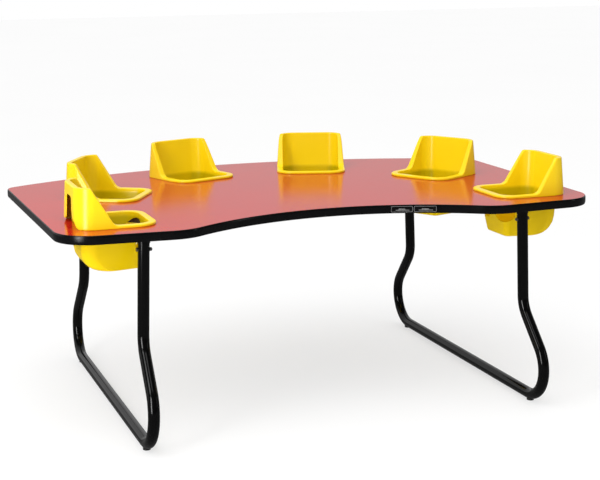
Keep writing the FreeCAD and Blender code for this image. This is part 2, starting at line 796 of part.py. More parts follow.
def socket_plate(name, placement):
    """Square plate with rounded corners, against the underside of the top."""
    body = doc.addObject("PartDesign::Body", name)
    outline = body.newObject("Sketcher::SketchObject", f"{name}_outline")
    plane = next(item for item in body.Origin.OriginFeatures if item.Role == "XY_Plane")
    outline.AttachmentSupport = [(plane, "")]
    outline.MapMode = "FlatFace"
    half = size("plate_size") / 2
    corners = [Vector(-half, -half, 0), Vector(half, -half, 0), Vector(half, half, 0),
               Vector(-half, half, 0)]
    for i in range(4):
        outline.addGeometry(Part.LineSegment(corners[i], corners[(i + 1) % 4]), False)
    for i in range(4):
        outline.addConstraint(Sketcher.Constraint("Coincident", i, 2, (i + 1) % 4, 1))
    for i in (0, 2):
        outline.addConstraint(Sketcher.Constraint("Horizontal", i))
    for i in (1, 3):
        outline.addConstraint(Sketcher.Constraint("Vertical", i))
    outline.addConstraint(Sketcher.Constraint("Symmetric", 0, 1, 1, 2, -1, 1))
    for label, line in (("plate_x", 0), ("plate_y", 1)):
        index = outline.addConstraint(Sketcher.Constraint("Distance", line, 2 * half))
        outline.renameConstraint(index, label)
        bind(outline, **{f"Constraints.{label}": "Sizes.plate_size"})
    pad = body.newObject("PartDesign::Pad", f"{name}_pad")
    pad.Profile = outline
    bind(pad, Length="Sizes.plate_thickness")
    pad.Reversed = True
    doc.recompute()
    upright = [f"Edge{i + 1}" for i, edge in enumerate(pad.Shape.Edges)
               if edge.BoundBox.ZLength > size("plate_thickness") / 2]
    rounded = body.newObject("PartDesign::Fillet", f"{name}_rounded")
    rounded.Base = (pad, upright)
    bind(rounded, Radius="Sizes.plate_corner_radius")
    body.Placement = placement
    return body


def leg_socket(side, sign, end, y):
    """Plate with a stub inside the leg tube and a ring round the tube's top."""
    name = f"{side}_{end}"
    plate = socket_plate(f"socket_plate_{name}", PLATES[name])
    # the stub and the ring start halfway into the plate and run down the leg
    sink = size("plate_thickness") / 2
    stub_start = leg_top(sign, y, sink + size("spigot_length"))
    ring_start = leg_top(sign, y, size("plate_thickness") + size("collar_height"))
    stub_radius = "Sizes.tube_diameter / 2 - Sizes.tube_wall - Sizes.spigot_clearance"
    ring_radius = "Sizes.tube_diameter / 2 + Sizes.spigot_clearance"
    ring_height = "Sizes.collar_height + Sizes.plate_thickness / 2"
    stub = cylinder(f"stub_{name}", stub_start, stub_radius, "Sizes.spigot_length")
    ring = minus(f"ring_{name}", cylinder(f"ring_outside_{name}", ring_start,
                                          ring_radius + " + Sizes.collar_wall", ring_height),
                 [cylinder(f"ring_inside_{name}", shifted(ring_start, z=-sink), ring_radius,
                           "Sizes.collar_height + Sizes.plate_thickness / 2")])
    cutters = [
        bolt_drill(f"socket_bolt_hole_{name}", sign, y),
        cylinder(f"stub_bore_{name}", shifted(stub_start, z=-sink),
                 stub_radius + " - Sizes.spigot_wall", "Sizes.spigot_length"),
    ]
    for i, point in enumerate(socket_screw_points()):
        start = shifted(PLATES[name], point.x, point.y, -2 * size("plate_thickness"))
        cutters.append(cylinder(f"plate_hole_{name}_{i}", start,
                                "Sizes.screw_diameter / 2 + Sizes.hole_clearance",
                                "3 * Sizes.plate_thickness"))
    whole = fused(f"socket_blank_{name}", [plate, stub, ring])
    node(minus(f"socket_{name}", whole, cutters), f"leg_socket_{name}")


for side, sign in SIDES:
    for end, y in ENDS:
        leg_socket(side, sign, end, y)

# ---------------------------------------------------------------- fasteners


def pan_screw(name, base, shank_expression):
    """Wood screw that points up from base, the face its head bears on."""
    head = doc.addObject("Part::Cone", f"{name}_head")
    bind(head, Radius1="Sizes.screw_head_face / 2",
         Radius2="Sizes.screw_head_diameter / 2", Height="Sizes.screw_head_height")
    head.Placement = Placement(base - Vector(0, 0, size("screw_head_height")), Rotation())
    shank = doc.addObject("Part::Cylinder", f"{name}_shank")
    bind(shank, Radius="Sizes.screw_diameter / 2", Height=shank_expression)
    shank.Placement = Placement(base, Rotation())
    screw = doc.addObject("Part::Fuse", name)
    screw.Base = head
    screw.Tool = shank
    return screw


def group(label, members):
    """Several separate solids that share one node."""
    thing = doc.addObject("Part::Compound", label)
    thing.Links = members
    return node(thing, label)


board = "Sizes.core_thickness + Sizes.laminate_thickness + Sizes.backer_thickness"
for name, placement in seat_places():
    screws = []
    for i, (owner, axis) in enumerate([pair for pair in seat_screw_axes if pair[0] == name]):
        base = Vector(axis.x, axis.y, under_z)
        screws.append(pan_screw(f"{name}_screw_{i}", base, board + " + Sizes.seat_screw_grip"))
    group(name.replace("seat_", "seat_screws_"), screws)

for name, plate in PLATES.items():
    screws = []
    for i, point in enumerate(socket_screw_points()):
        base = plate.multVec(point) - UP * size("plate_thickness")
        screws.append(pan_screw(f"socket_screw_{name}_{i}", base,
                                "Sizes.socket_screw_grip + Sizes.plate_thickness"))
    group(f"socket_screws_{name}", screws)


def hexagon(name, placement, height):
    """Hexagonal prism, as wide as the bolt's head."""
    thing = doc.addObject("Part::Prism", name)
    thing.Polygon = 6
    bind(thing, Circumradius="Sizes.bolt_head_width / 2 / cos(30 deg)", Height=height)
    thing.Placement = placement
    return thing


def bolt_set(sign, y, name):
    """Bolt, nut and two washers through one leg's top, with the nut on the inner side."""
    inwards = Placement(Vector(0, 0, 0), Rotation(UP, Vector(-sign, 0, 0)))
    centre = leg_top(sign, y, size("bolt_drop")).multiply(inwards)
    washer = size("washer_thickness")
    under_head = shifted(centre, z=-tube_radius - washer)
    under_nut = shifted(centre, z=tube_radius + washer)
    head = hexagon(f"bolt_head_{name}", shifted(under_head, z=-size("bolt_head_height")),
                   "Sizes.bolt_head_height")
    shank = cylinder(f"bolt_shank_{name}", under_head, "Sizes.bolt_diameter / 2",
                     "Sizes.tube_diameter + 2 * Sizes.washer_thickness + Sizes.nut_height"
                     " + Sizes.bolt_tail")
    bore = "Sizes.bolt_diameter / 2 + Sizes.screw_fit"
    nut = minus(f"nut_{name}", hexagon(f"nut_blank_{name}", under_nut, "Sizes.nut_height"),
                [cylinder(f"nut_bore_{name}", under_nut, bore, "Sizes.nut_height")])
    washers = []
    for face, start in (("head", under_head), ("nut", shifted(under_nut, z=-washer))):
        disc = cylinder(f"washer_disc_{name}_{face}", start, "Sizes.washer_diameter / 2",
                        "Sizes.washer_thickness")
        hole = cylinder(f"washer_bore_{name}_{face}", start, bore, "Sizes.washer_thickness")
        washers.append(minus(f"washer_{name}_{face}", disc, [hole]))
    return fused(f"bolt_{name}", [head, shank]), nut, washers


sets = [bolt_set(sign, y, f"{side}_{end}") for side, sign in SIDES for end, y in ENDS]
group("leg_bolts", [bolt for bolt, nut, washers in sets])
group("leg_nuts", [nut for bolt, nut, washers in sets])
group("leg_washers", [washer for bolt, nut, washers in sets for washer in washers])

# ---------------------------------------------------------------- glides

# the glides are cut to fit the tubes, which have to be built by now
doc.recompute()


def glide(label, side, x, y):
    """Round foot under the floor run: a disc hollowed to the tube, and a stem."""
    spot = Vector(x, y - middle_y, 0)
    disc_height = size("glide_height") + size("glide_cup")
    disc = Part.makeCylinder(size("glide_diameter") / 2, disc_height, spot)
    sole = [edge for edge in disc.Edges if edge.BoundBox.ZMax < size("glide_height") / 2]
    disc = disc.makeFillet(size("glide_rounding"), sole)
    stem = Part.makeCylinder(size("glide_stem_diameter") / 2,
                             size("glide_height") + size("glide_stem_length"), spot)
    return feature(label, disc.cut(leg_bars[side].Shape).fuse(stem).removeSplitter())


for side, sign in SIDES:
    for end, y in GLIDES.items():
        glide(f"glide_{side}_{end}", side, sign * leg_x, y)

# ---------------------------------------------------------------- checks and export

doc.recompute()
for thing in doc.Objects:
    if "Invalid" in thing.State or "Error" in thing.State:
        raise RuntimeError(f"{thing.Label} did not build: {thing.State}")
os.makedirs("parts", exist_ok=True)
for thing in nodes:
    if thing.Shape.isNull() or not thing.Shape.isValid():
        raise RuntimeError(f"{thing.Label} has no valid shape")
for thing in nodes:
    thing.Shape.exportStep(f"parts/{thing.Label}.step")
print(f"{len(nodes)} nodes written")
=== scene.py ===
"""Looks of the six-seat feeding table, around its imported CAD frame.

Metres, in the CAD frame: +X along the table, +Y from the concave front to the back, +Z up,
with the origin on the floor under the middle of the object.
"""
import math

import bpy
import numpy as np
from mathutils import Matrix, Vector


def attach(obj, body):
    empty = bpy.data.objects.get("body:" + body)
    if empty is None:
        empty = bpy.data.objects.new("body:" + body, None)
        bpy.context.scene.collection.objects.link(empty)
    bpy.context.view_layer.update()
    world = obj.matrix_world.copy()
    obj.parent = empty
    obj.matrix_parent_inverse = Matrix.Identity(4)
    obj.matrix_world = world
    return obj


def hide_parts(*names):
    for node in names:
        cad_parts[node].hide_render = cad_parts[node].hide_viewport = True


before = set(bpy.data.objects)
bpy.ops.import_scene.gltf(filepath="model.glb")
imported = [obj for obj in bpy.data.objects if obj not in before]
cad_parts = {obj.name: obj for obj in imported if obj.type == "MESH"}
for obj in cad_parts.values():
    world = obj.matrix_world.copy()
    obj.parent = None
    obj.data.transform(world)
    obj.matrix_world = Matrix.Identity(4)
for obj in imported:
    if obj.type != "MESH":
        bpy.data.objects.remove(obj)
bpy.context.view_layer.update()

# ------------------------------------------------------------------ sizes shared with the CAD

MIDDLE_Y = 0.5656            # arm fronts to the middle of the object
TOP_Z = 0.672
UNDER_Z = 0.644
MIDDLE_Z = (TOP_Z + UNDER_Z) / 2
HALF_LENGTH = 0.907
TOP_DEPTH = 1.2192
BACK_RADIUS = 1.860
REAR_CORNER = 0.055
FRONT_CORNER = 0.120
ARM_ANGLE = math.radians(3.5)
END_TAPER = math.radians(0.9)
CREST_RADIUS = 0.140
BAY_RADIUS = 0.815
BAY_DEPTH = 0.172
BAND = 0.0032                # thickness of the edge band
LABEL_START = 0.2025         # middle of the bay to the first plate, along X
LABEL_LENGTH = 0.067
LABEL_GAP = 0.004
LABEL_HEIGHT = 0.019
LABEL_CORNER = 0.003
TUBE_RADIUS = 0.018
TUBE_AXIS_Z = 0.021          # axis of the floor run
LEG_X = 0.657
LEAN = math.radians(2.0)     # uprights lean in at their tops
LEG_FRONT = 0.065            # arm fronts to the front upright
LEG_BACK = 0.971             # arm fronts to the rear upright
LEG_BULGE = 0.135            # how far the feet stand out from the uprights
SPLAY = math.radians(42.5)
SHIN_BEND = 0.095
FOOT_BEND = 0.105
PLATE = 0.003                # thickness of a socket plate
TUBE_TOP_GAP = 0.0004        # socket plate to the tube's top
# seat centres: X from the middle, Y from the arm fronts, and degrees of turn
SEATS = {"side": (0.703, 0.221, 0.0), "corner": (0.604, 0.680, 30.0), "back": (0.234, 0.979, 71.0)}

# ------------------------------------------------------------------ camera

CAMERA_SPOT = (-1.565398, -4.461579, 1.463123)
CAMERA_PITCH, CAMERA_ROLL, CAMERA_YAW = 0.20238, -0.00958, -0.34528   # radians
FOCAL_LENGTH = 1385.84       # in pixels of a picture PICTURE_WIDTH wide
PICTURE_WIDTH = 600.0
SENSOR_WIDTH = 36.0          # millimetres


def set_camera():
    """Camera of the reference view: place, direction and lens."""
    c, s = math.cos(CAMERA_YAW), math.sin(CAMERA_YAW)
    cp, sp = math.cos(CAMERA_PITCH), math.sin(CAMERA_PITCH)
    cr, sr = math.cos(CAMERA_ROLL), math.sin(CAMERA_ROLL)
    right = Vector((c, s, 0))
    ahead = Vector((-s * cp, c * cp, -sp))
    up = Vector((-s * sp, c * sp, cp))
    tilt_right = cr * right + sr * up
    tilt_up = cr * up - sr * right
    turn = Matrix((tilt_right, tilt_up, -ahead)).transposed().to_4x4()
    lens = bpy.data.cameras.new("camera")
    lens.sensor_width = SENSOR_WIDTH
    lens.lens = FOCAL_LENGTH * SENSOR_WIDTH / PICTURE_WIDTH
    lens.clip_start = 0.05
    lens.clip_end = 100.0
    camera = bpy.data.objects.new("camera", lens)
    camera.matrix_world = Matrix.Translation(CAMERA_SPOT) @ turn
    bpy.context.scene.collection.objects.link(camera)
    bpy.context.scene.camera = camera


set_camera()

# ------------------------------------------------------------------ materials

BROAD_DETAIL, FINE_DETAIL = 4.0, 2.0
RAMP_STOPS = (0.3, 0.7)      # noise values of a surface's two shades
BUMP_STRENGTH = 0.25


def map_range(nodes, links, value, to_range=(0.0, 1.0), from_range=(0.0, 1.0), smooth=False):
    """Output of a node that maps a value from one range to another."""
    node = nodes.new("ShaderNodeMapRange")
    if smooth:
        node.interpolation_type = "SMOOTHSTEP"
    node.inputs["From Min"].default_value, node.inputs["From Max"].default_value = from_range
    node.inputs["To Min"].default_value, node.inputs["To Max"].default_value = to_range
    links.new(value, node.inputs["Value"])
    return node.outputs["Result"]


def multiply(nodes, links, first, second):
    """Output of a node that multiplies a value by another value or by a number."""
    node = nodes.new("ShaderNodeMath")
    node.operation = "MULTIPLY"
    links.new(first, node.inputs[0])
    if isinstance(second, float):
        node.inputs[1].default_value = second
    else:
        links.new(second, node.inputs[1])
    return node.outputs["Value"]


def mix_colours(nodes, links, factor, colour_a, colour_b, blend="MIX"):
    """Output of a colour mix; each input is another node's output or a plain value."""
    node = nodes.new("ShaderNodeMix")
    node.data_type = "RGBA"
    node.blend_type = blend
    for socket, value in (("Factor", factor), ("A", colour_a), ("B", colour_b)):
        if isinstance(value, bpy.types.NodeSocket):
            links.new(value, node.inputs[socket])
        elif isinstance(value, tuple):
            node.inputs[socket].default_value = (*value, 1)
        else:
            node.inputs[socket].default_value = value
    return node.outputs["Result"]


def mix_values(nodes, links, factor, low, high):
    """Output of a mix of two values; high is another node's output or a number."""
    node = nodes.new("ShaderNodeMix")
    links.new(factor, node.inputs["Factor"])
    links.new(low, node.inputs["A"])
    if isinstance(high, float):
        node.inputs["B"].default_value = high
    else:
        links.new(high, node.inputs["B"])
    return node.outputs["Result"]


def noise(nodes, links, place, scale, detail):
    """Output of a noise texture on the object's own coordinates."""
    node = nodes.new("ShaderNodeTexNoise")
    node.inputs["Scale"].default_value = scale
    node.inputs["Detail"].default_value = detail
    links.new(place.outputs["Object"], node.inputs["Vector"])
    return node.outputs["Fac"]


def surface(name, shade_a, shade_b, grain, roughness, rough_span, bump, bump_depth,
            metallic=0.0, ior=1.5):
    """Principled surface whose colour, roughness and relief follow noise.

    grain is the scale of the noise in the colour and the roughness, and bump that of the
    noise in the relief, whose depth is bump_depth in metres.
    """
    material = bpy.data.materials.new(name)
    material.use_nodes = True
    nodes, links = material.node_tree.nodes, material.node_tree.links
    shader = nodes["Principled BSDF"]
    shader.inputs["Metallic"].default_value = metallic
    shader.inputs["IOR"].default_value = ior
    place = nodes.new("ShaderNodeTexCoord")

    broad = noise(nodes, links, place, grain, BROAD_DETAIL)
    ramp = nodes.new("ShaderNodeValToRGB")
    for stop, position, shade in zip(ramp.color_ramp.elements, RAMP_STOPS, (shade_a, shade_b)):
        stop.position = position
        stop.color = (*shade, 1)
    links.new(broad, ramp.inputs["Fac"])
    links.new(ramp.outputs["Color"], shader.inputs["Base Color"])
    links.new(map_range(nodes, links, broad, (roughness - rough_span, roughness + rough_span)),
              shader.inputs["Roughness"])

    relief = nodes.new("ShaderNodeBump")
    relief.inputs["Strength"].default_value = BUMP_STRENGTH
    relief.inputs["Distance"].default_value = bump_depth
    links.new(noise(nodes, links, place, bump, FINE_DETAIL), relief.inputs["Height"])
    links.new(relief.outputs["Normal"], shader.inputs["Normal"])
    return material


SHADE_LOW, SHADE_HIGH = TOP_Z - 0.010, TOP_Z + 0.006   # the shade fades out between these
RIM_SHADE = (SHADE_LOW - 0.085, SHADE_LOW - 0.045)     # and the inside shade between these
FACING_BLEND = (-0.05, 0.05)                           # the normal's Z, outside to inside
INSIDE_SHADE, OUTSIDE_SHADE = (0.52, 0.56, 0.25), (0.84, 0.82, 0.50)
# specular level below and above the table; the lower level is painted shade on the reflections
SPECULAR_BELOW, SPECULAR_ABOVE = 0.12, 0.5


def shade_below(material):
    """Multiplies the colour below the table, where no light comes through the wall.

    The inside of the tub faces up a little and the outside faces down a little, and each
    has its own shade. The inside shade ends where light comes in by the leg openings.
    Its gloss is also turned down below the table, as painted shade on its reflections.
    """
    nodes, links = material.node_tree.nodes, material.node_tree.links
    shader = nodes["Principled BSDF"]
    geometry = nodes.new("ShaderNodeNewGeometry")
    split = {}
    for name in ("Position", "Normal"):
        split[name] = nodes.new("ShaderNodeSeparateXYZ")
        links.new(geometry.outputs[name], split[name].inputs["Vector"])
    height, facing = split["Position"].outputs["Z"], split["Normal"].outputs["Z"]

    upwards = map_range(nodes, links, facing, from_range=FACING_BLEND, smooth=True)
    near_rim = map_range(nodes, links, height, from_range=RIM_SHADE, smooth=True)
    above = map_range(nodes, links, height, from_range=(SHADE_LOW, SHADE_HIGH), smooth=True)
    inside = multiply(nodes, links, upwards, near_rim)
    below = mix_colours(nodes, links, inside, OUTSIDE_SHADE, INSIDE_SHADE)
    tint = mix_colours(nodes, links, above, below, (1.0, 1.0, 1.0))
    plain = shader.inputs["Base Color"].links[0].from_socket
    links.new(mix_colours(nodes, links, 1.0, plain, tint, "MULTIPLY"),
              shader.inputs["Base Color"])
    links.new(map_range(nodes, links, above, (SPECULAR_BELOW, SPECULAR_ABOVE)),
              shader.inputs["Specular IOR Level"])


YELLOW = surface("yellow moulding", (0.88, 0.615, 0.004), (0.90, 0.635, 0.006), grain=5.0,
                 roughness=0.24, rough_span=0.03, bump=260.0, bump_depth=0.0002, ior=1.43)
shade_below(YELLOW)
RED = surface("red laminate", (0.46, 0.010, 0.007), (0.49, 0.013, 0.009), grain=9.0,
              roughness=0.16, rough_span=0.02, bump=900.0, bump_depth=0.00004)
BLACK_BAND = surface("black edge band", (0.0015, 0.0015, 0.0018), (0.0026, 0.0026, 0.003),
                     grain=14.0, roughness=0.20, rough_span=0.04, bump=700.0,
                     bump_depth=0.0001, ior=1.36)
BLACK_PAINT = surface("black powder coat", (0.001, 0.001, 0.001), (0.0018, 0.0018, 0.0018),
                      grain=10.0, roughness=0.10, rough_span=0.03, bump=380.0,
                      bump_depth=0.0001, ior=1.38)
STEEL = surface("zinc-plated steel", (0.30, 0.30, 0.31), (0.40, 0.40, 0.41), grain=120.0,
                roughness=0.30, rough_span=0.06, bump=900.0, bump_depth=0.0001, metallic=1.0)
# brown of pressed wood, darkened to the depth of its shade under the top: painted shade
CORE_WITH_PAINTED_SHADE = surface("pressed wood core with painted shade", (0.040, 0.020, 0.010), (0.075, 0.040, 0.020), grain=260.0,
               roughness=0.75, rough_span=0.05, bump=500.0, bump_depth=0.0006)
BACKER = surface("brown backer sheet", (0.085, 0.060, 0.045), (0.11, 0.08, 0.06), grain=30.0,
                 roughness=0.60, rough_span=0.05, bump=600.0, bump_depth=0.0002)
GLIDE = surface("black glide plastic", (0.010, 0.010, 0.010), (0.016, 0.016, 0.016), grain=60.0,
                roughness=0.50, rough_span=0.05, bump=700.0, bump_depth=0.0002)
LABEL = surface("label film", (0.003, 0.003, 0.003), (0.005, 0.005, 0.005), grain=80.0,
                roughness=0.35, rough_span=0.03, bump=900.0, bump_depth=0.00005, ior=1.25)
LABEL_LINE = surface("label line", (0.15, 0.15, 0.15), (0.20, 0.20, 0.20), grain=80.0,
                     roughness=0.45, rough_span=0.03, bump=900.0, bump_depth=0.00005)

# the first of these that a CAD node's name starts with gives its material
NODE_MATERIALS = (
    ("seat_screws", STEEL), ("socket_screws", STEEL), ("seat", YELLOW),
    ("leg_frame", BLACK_PAINT), ("leg_socket", BLACK_PAINT), ("leg_bolts", STEEL),
    ("leg_nuts", STEEL), ("leg_washers", STEEL), ("glide", GLIDE), ("label", LABEL),
    ("table_core", CORE_WITH_PAINTED_SHADE), ("laminate_top", RED), ("laminate_backer", BACKER),
    ("edge_band", BLACK_BAND),
)


def dress(thing, material):
    """Gives an object one material."""
    thing.data.materials.clear()
    thing.data.materials.append(material)


for name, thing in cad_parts.items():
    dress(thing, next(material for start, material in NODE_MATERIALS if name.startswith(start)))

# ------------------------------------------------------------------ mesh helpers


def add_piece(thing, material, replaced=None, smooth=True):
    """Dresses an object and makes it a visible piece, in place of a CAD node if one is named."""
    dress(thing, material)
    if smooth:
        for polygon in thing.data.polygons:
            polygon.use_smooth = True
    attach(thing, "root")
    if replaced:
        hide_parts(replaced)


def add_mesh(name, vertices, faces, material, replaced=None, smooth=True):
    """New piece of the object, in the row frame."""
    mesh = bpy.data.meshes.new(name)
    mesh.from_pydata([tuple(v) for v in vertices], [], [tuple(f) for f in faces])
    mesh.validate()
    mesh.update()
    thing = bpy.data.objects.new(name, mesh)
    bpy.context.scene.collection.objects.link(thing)
    add_piece(thing, material, replaced, smooth)


def ring_faces(rows, columns, closed_rows):
    """Quads over a grid of rows that each close on themselves."""
    faces = []
    for i in range(rows if closed_rows else rows - 1):
        j = (i + 1) % rows
        for k in range(columns):
            m = (k + 1) % columns
            faces.append((i * columns + k, i * columns + m, j * columns + m, j * columns + k))
    return faces


# ------------------------------------------------------------------ edge band

EDGE_STEP = 0.006            # distance between points along the edge
SAME_SPOT = 1e-5             # points nearer than this are one
BAND_ROUNDNESS = 3.0         # exponent of the band's face, which is a superellipse
BAND_STEPS = 41              # points across the band's face
BAND_SETBACK = 0.0004        # the band's inner side, inside the board's top and bottom


def arc_points(centre, radius, start, end):
    """Points and outward directions along an arc, angles in radians."""
    count = max(2, int(abs(end - start) * radius / EDGE_STEP) + 1)
    angles = np.linspace(start, end, count)
    ways = np.stack([np.cos(angles), np.sin(angles)], 1)
    return centre + ways * radius, ways * (1 if end > start else -1)


def top_edge():
    """Points and outward directions round the edge of the top, in the row frame."""
    bay_y = BAY_DEPTH - BAY_RADIUS
    back_y = TOP_DEPTH - BACK_RADIUS
    crest_x = math.sqrt((BAY_RADIUS + CREST_RADIUS) ** 2 - (CREST_RADIUS - bay_y) ** 2)
    bay_turn = math.atan2(CREST_RADIUS - bay_y, crest_x)
    rear_x = HALF_LENGTH - REAR_CORNER
    rear_y = back_y + math.sqrt((BACK_RADIUS - REAR_CORNER) ** 2 - rear_x ** 2)
    back_turn = math.atan2(rear_y - back_y, rear_x)
    reach = rear_x * math.cos(END_TAPER) - rear_y * math.sin(END_TAPER) + REAR_CORNER
    arm_y = (CREST_RADIUS - crest_x * math.tan(ARM_ANGLE)
             + (FRONT_CORNER - CREST_RADIUS) / math.cos(ARM_ANGLE))
    corner_x = ((reach - FRONT_CORNER + arm_y * math.sin(END_TAPER))
                / (math.cos(END_TAPER) - math.sin(END_TAPER) * math.tan(ARM_ANGLE)))
    corner_y = arm_y + corner_x * math.tan(ARM_ANGLE)
    pi = math.pi
    arm = ARM_ANGLE - pi / 2
    stretches = [
        ((crest_x, CREST_RADIUS), CREST_RADIUS, bay_turn - pi, arm),
        ((corner_x, corner_y), FRONT_CORNER, arm, -END_TAPER),
        ((rear_x, rear_y), REAR_CORNER, -END_TAPER, back_turn),
        ((0, back_y), BACK_RADIUS, back_turn, pi - back_turn),
        ((-rear_x, rear_y), REAR_CORNER, pi - back_turn, pi + END_TAPER),
        ((-corner_x, corner_y), FRONT_CORNER, pi + END_TAPER, pi - arm),
        ((-crest_x, CREST_RADIUS), CREST_RADIUS, pi - arm, 2 * pi - bay_turn),
        ((0, bay_y), BAY_RADIUS, pi - bay_turn, bay_turn),
    ]
    spots, ways = [], []
    for centre, radius, start, end in stretches:
        here, out = arc_points(np.array(centre), radius, start, end)
        if spots:
            last = spots[-1]
            extra = int(np.linalg.norm(here[0] - last) / EDGE_STEP)
            for t in np.linspace(0, 1, extra + 2)[1:-1]:
                spots.append(last * (1 - t) + here[0] * t)
                ways.append(out[0])
        for spot, way in zip(here, out):
            if not spots or np.linalg.norm(spot - spots[-1]) >= SAME_SPOT:
                spots.append(spot)
                ways.append(way)
    if np.linalg.norm(spots[0] - spots[-1]) < SAME_SPOT:
        spots.pop()
        ways.pop()
    spots = np.array(spots)
    spots[:, 1] -= MIDDLE_Y
    return spots, np.array(ways)


def band_profile():
    """Closed section of the band: (depth behind its face, height)."""
    half = (TOP_Z - UNDER_Z) / 2
    points = []
    for angle in np.linspace(-math.pi / 2, math.pi / 2, BAND_STEPS):
        share = math.sin(angle)
        bulge = 1 - math.sqrt(max(0.0, 1 - abs(share) ** BAND_ROUNDNESS))
        points.append((BAND * bulge, MIDDLE_Z + half * share))
    points.append((BAND, TOP_Z - BAND_SETBACK))
    points.append((BAND, UNDER_Z + BAND_SETBACK))
    return points


spots, ways = top_edge()
section = band_profile()
vertices = []
for spot, way in zip(spots, ways):
    for depth, height in section:
        vertices.append((*(spot - way * depth), height))
add_mesh("edge_band_moulding", vertices, ring_faces(len(spots), len(section), True),
         BLACK_BAND, "edge_band")

# ------------------------------------------------------------------ label plates

LABEL_RIM = 0.0011                         # width of the light outline
FACE_CORNER = LABEL_CORNER - 0.0008        # corner radius inside the outline
RIM_OUT, FACE_OUT = 0.0006, 0.00045        # how far they stand out from the band
FACE_HOLE = (0.02, 0.002, 0.0008)          # length, height and corner, under the middle bar
# the bars: along X and up from the plate's middle, length, height, and out from the band
MIDDLE_BAR = (0.0, 0.0, 0.021, 0.003, 0.0005)
LOWER_BAR = (0.002, -0.0035, 0.044, 0.0022, 0.00052)
BAR_ROUNDNESS = 0.45                       # corner radius, as a share of the bar's height
BAR_CORNER_STEPS = 3


def rounded_box(width, height, radius, steps=6):
    """Corners of a rounded rectangle about its middle, anticlockwise."""
    points = []
    for quarter, (sx, sy) in enumerate(((1, 1), (-1, 1), (-1, -1), (1, -1))):
        for k in range(steps + 1):
            turn = (quarter + k / steps) * math.pi / 2
            points.append((sx * (width / 2 - radius) + radius * math.cos(turn),
                           sy * (height / 2 - radius) + radius * math.sin(turn)))
    return points


def on_bay(across, height, out):
    """Point on the bay's face: across along X, height in Z, out in front of the band."""
    radius = BAY_RADIUS - out
    turn = math.asin(across / BAY_RADIUS)
    return (radius * math.sin(turn), radius * math.cos(turn) + BAY_DEPTH - BAY_RADIUS - MIDDLE_Y,
            height)


def strip_along(name, loop, inner, middle, high, material, replaced=None):
    """Flat ring between two outlines, laid on the curved face of the bay."""
    vertices = []
    for outline, out in ((loop, 0.0), (loop, high), (inner, high), (inner, 0.0)):
        vertices += [on_bay(middle + x, MIDDLE_Z + z, out) for x, z in outline]
    add_mesh(name, vertices, ring_faces(4, len(loop), True), material,
             replaced, smooth=False)


def bar(name, middle, along, height, length, thick, out):
    """One short plain bar, in the place of a line of text."""
    loop = rounded_box(length, thick, thick * BAR_ROUNDNESS, BAR_CORNER_STEPS)
    vertices = [on_bay(middle + along + x, MIDDLE_Z + height + z, stand)
                for stand in (0.0, out) for x, z in loop]
    faces = ring_faces(2, len(loop), False) + [tuple(range(len(loop), 2 * len(loop)))]
    add_mesh(name, vertices, faces, LABEL_LINE, smooth=False)


def label(name, start):
    """Dark plate with a thin light outline and two plain bars."""
    middle = start + LABEL_LENGTH / 2
    edge = rounded_box(LABEL_LENGTH, LABEL_HEIGHT, LABEL_CORNER)
    line = rounded_box(LABEL_LENGTH - 2 * LABEL_RIM, LABEL_HEIGHT - 2 * LABEL_RIM, FACE_CORNER)
    hole = rounded_box(*FACE_HOLE)
    strip_along(f"{name}_rim", edge, line, middle, RIM_OUT, LABEL_LINE)
    strip_along(f"{name}_face", line, hole, middle, FACE_OUT, LABEL, name)
    bar(f"{name}_core", middle, *MIDDLE_BAR)
    bar(f"{name}_bar_long", middle, *LOWER_BAR)


label("label_plate_inner", LABEL_START)
label("label_plate_outer", LABEL_START + LABEL_LENGTH + LABEL_GAP)

# ------------------------------------------------------------------ leg frames

TUBE_SIDES = 56
# points along the stretches of the centre line
UPRIGHT_POINTS, SHIN_POINTS, SLOPE_POINTS, FOOT_POINTS, RUN_POINTS = 30, 16, 8, 40, 40


def leg_line():
    """Centre line of a leg frame in its own plane: (y, z) from the floor run's axis."""
    foot_y = LEG_FRONT - LEG_BULGE + FOOT_BEND
    leave = np.array([foot_y - FOOT_BEND * math.cos(SPLAY),
                      FOOT_BEND + FOOT_BEND * math.sin(SPLAY)])
    knee_z = leave[1] + (LEG_FRONT - leave[0]) / math.tan(SPLAY)
    shin_y = LEG_FRONT - SHIN_BEND
    shin_z = knee_z + SHIN_BEND * math.tan(SPLAY / 2)
    top = ((UNDER_Z - PLATE - TUBE_AXIS_Z - TUBE_TOP_GAP) / math.cos(LEAN)
           - TUBE_RADIUS * math.tan(LEAN))
    points = [(LEG_FRONT, z) for z in np.linspace(top, shin_z, UPRIGHT_POINTS)]
    for turn in np.linspace(0, SPLAY, SHIN_POINTS)[1:]:
        points.append((shin_y + SHIN_BEND * math.cos(turn), shin_z - SHIN_BEND * math.sin(turn)))
    start = np.array(points[-1])
    for t in np.linspace(0, 1, SLOPE_POINTS)[1:]:
        points.append(tuple(start * (1 - t) + leave * t))
    for turn in np.linspace(math.pi - SPLAY, 1.5 * math.pi, FOOT_POINTS)[1:]:
        points.append((foot_y + FOOT_BEND * math.cos(turn), FOOT_BEND + FOOT_BEND * math.sin(turn)))
    both = LEG_FRONT + LEG_BACK
    back = [(both - y, z) for y, z in reversed(points)]
    run = np.linspace(points[-1][0], back[0][0], RUN_POINTS)[1:-1]
    return np.array(points + [(y, 0.0) for y in run] + back)


